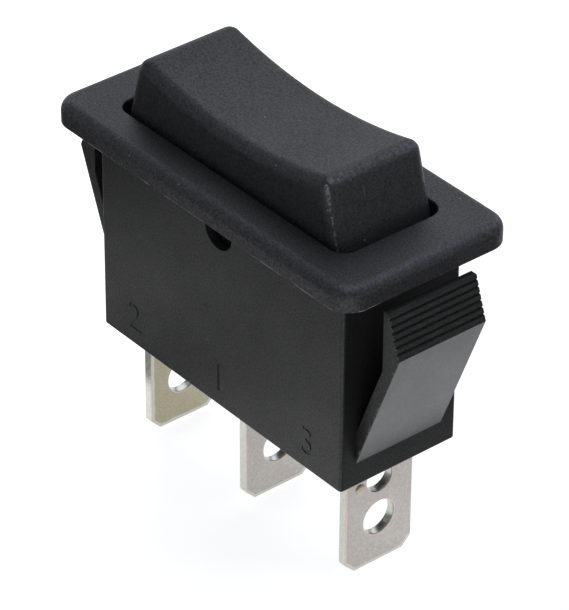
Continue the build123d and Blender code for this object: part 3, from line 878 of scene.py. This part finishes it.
# The rim of a blade, where the stamping has smeared the tin thin and bright.
pale_border, given, result = start_group(
    "pale_border", {"Side Width": 0.12, "Tip Width": 0.26}, {"Mask": "Float"})
side_width, tip_width = given.outputs["Side Width"], given.outputs["Tip Width"]
place, (_, across, height) = place_in_mm(pale_border)
from_side = figure(
    pale_border, "SUBTRACT", blade_half_width, figure(pale_border, "ABSOLUTE", across))
from_tip = figure(pale_border, "SUBTRACT", height, blade_tip)
from_corner = figure(
    pale_border, "SUBTRACT", figure(pale_border, "ADD", from_side, from_tip), blade_corner)
from_corner = figure(pale_border, "MULTIPLY", from_corner, sqrt(0.5))
at_side = figure(pale_border, "SUBTRACT", side_width, from_side)
at_tip = figure(
    pale_border, "SUBTRACT", figure(pale_border, "ADD", tip_width, blade_bevel), from_tip)
at_corner = figure(pale_border, "SUBTRACT", tip_width, from_corner)
nearest = figure(pale_border, "MAXIMUM", figure(pale_border, "MAXIMUM", at_side, at_tip), at_corner)
wander = spread(pale_border, noise(pale_border, place, 1.2, 2.0, 0.5), 0.3, 0.7, -0.05, 0.05)
border = spread(pale_border, figure(pale_border, "ADD", nearest, wander), 0, 0.08, 0, 0.8)
pale_border.links.new(border, result.inputs["Mask"])
for tin, colour, widths in (
        (bright_tin, (0.60, 0.60, 0.56), {"Side Width": 0.12, "Tip Width": 0.26}),
        (aged_tin, (0.58, 0.58, 0.55), {"Side Width": 0.36, "Tip Width": 0.32})):
    border = wire(tin.node_tree, "Group", {"node_tree": pale_border}, widths)
    paint_over(tin, border.outputs["Mask"], colour)


def finish_blade(blade, name, node, tin):
    """Puts a blade in the frame, with its own finish on the cut sides, corners and dimple."""
    finish_piece(blade, name, node, "housing", tin, 28)
    dress_node(node, tin)
    for finish in (sheared_edge, bare_edge, worn_dimple):
        blade.data.materials.append(finish)
    # Slot 1 is for the cut sides, 2 for their broken corners, and 3 for the dimple.
    for face in blade.data.polygons:
        flat = abs(face.normal.x)
        if abs(face.center.x) > (throw_place + blade_half_thickness + TOUCH) * MM:
            face.material_index = 3
        elif flat < 0.3 or face.center.z < (blade_tip + blade_bevel) * MM:
            face.material_index = 1 if flat < 0.9 else 0
        elif flat < 0.95 and face.center.z < (floor_height - 2 * fold_radius) * MM:
            face.material_index = 2


finish_blade(common, "middle_blade", "common_terminal", bright_tin)
for name, side, tin in (("left", -1, aged_tin), ("right", 1, bright_tin)):
    finish_blade(folded_terminal(side), name + "_blade", name + "_throw_terminal", tin)


# ------------------------------------------------------------------ plunger, spring and contacts
# Turned and stamped pieces that the body hides: an acetal plunger, its steel spring, the
# copper-alloy strip that rocks on the middle blade, and four silver rivets. The spring is coiled
# from round wire and is ground flat at both ends.
plunger_acetal = moulded_plastic(
    "plunger_acetal", (0.62, 0.60, 0.54), (0.72, 0.70, 0.64), (0.28, 0.36, 0.02),
    {"Grain Size": 0.25, "Speck Spacing": 8.0}, 1e-6, 0.5)
spring_steel = plated_metal(
    "spring_steel", (0.40, 0.40, 0.41), (0.58, 0.58, 0.60), (0.34, 0.32, 0.30), (0.22, 0.34), 2e-6)
contact_strip = plated_metal(
    "contact_strip", (0.60, 0.38, 0.20), (0.76, 0.52, 0.30), (0.48, 0.28, 0.14), (0.26, 0.38), 3e-6)
contact_silver = plated_metal(
    "contact_silver", (0.72, 0.72, 0.70), (0.88, 0.88, 0.86), (0.60, 0.57, 0.50), (0.24, 0.36),
    3e-6)

wire_diameter, coil_radius, half_turns = 0.34, 1.15, 9
spring_foot, spring_head, plunger_travel = -5.25, bore_top, 1.2
spring_length = spring_head - spring_foot
bpy.ops.object.select_all(action="DESELECT")
bpy.ops.mesh.primitive_circle_add(
    vertices=12, radius=wire_diameter / 2, location=(coil_radius, 0, spring_foot),
    rotation=(pi / 2, 0, 0))
bpy.ops.object.transform_apply(location=True, rotation=True, scale=True)
spring = bpy.context.object
coils = spring.modifiers.new("coils", "SCREW")
coils.axis, coils.angle, coils.screw_offset = "Z", pi, spring_length / half_turns
coils.iterations, coils.steps, coils.render_steps = half_turns, 14, 14
bpy.ops.object.modifier_apply(modifier="coils")
bpy.ops.object.mode_set(mode="EDIT")
close_mesh()
bpy.ops.mesh.fill_holes(sides=0)
close_mesh()
for ground, outward_way in ((spring_foot, -1), (spring_head, 1)):
    bpy.ops.mesh.select_all(action="SELECT")
    bpy.ops.mesh.bisect(
        plane_co=(0, 0, ground), plane_no=(0, 0, outward_way), use_fill=True, clear_outer=True)
bpy.ops.object.mode_set(mode="OBJECT")
finish_piece(spring, "coil_spring", "plunger_spring", "rocker", spring_steel, 40)
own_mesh(spring)

inner_finishes = {
    "plunger": plunger_acetal, "plunger_spring": spring_steel, "rocking_contact": contact_strip}
for side in ("left", "right"):
    for kind in ("moving", "fixed"):
        inner_finishes[side + "_" + kind + "_contact"] = contact_silver
for node, finish in inner_finishes.items():
    dress_node(node, finish)
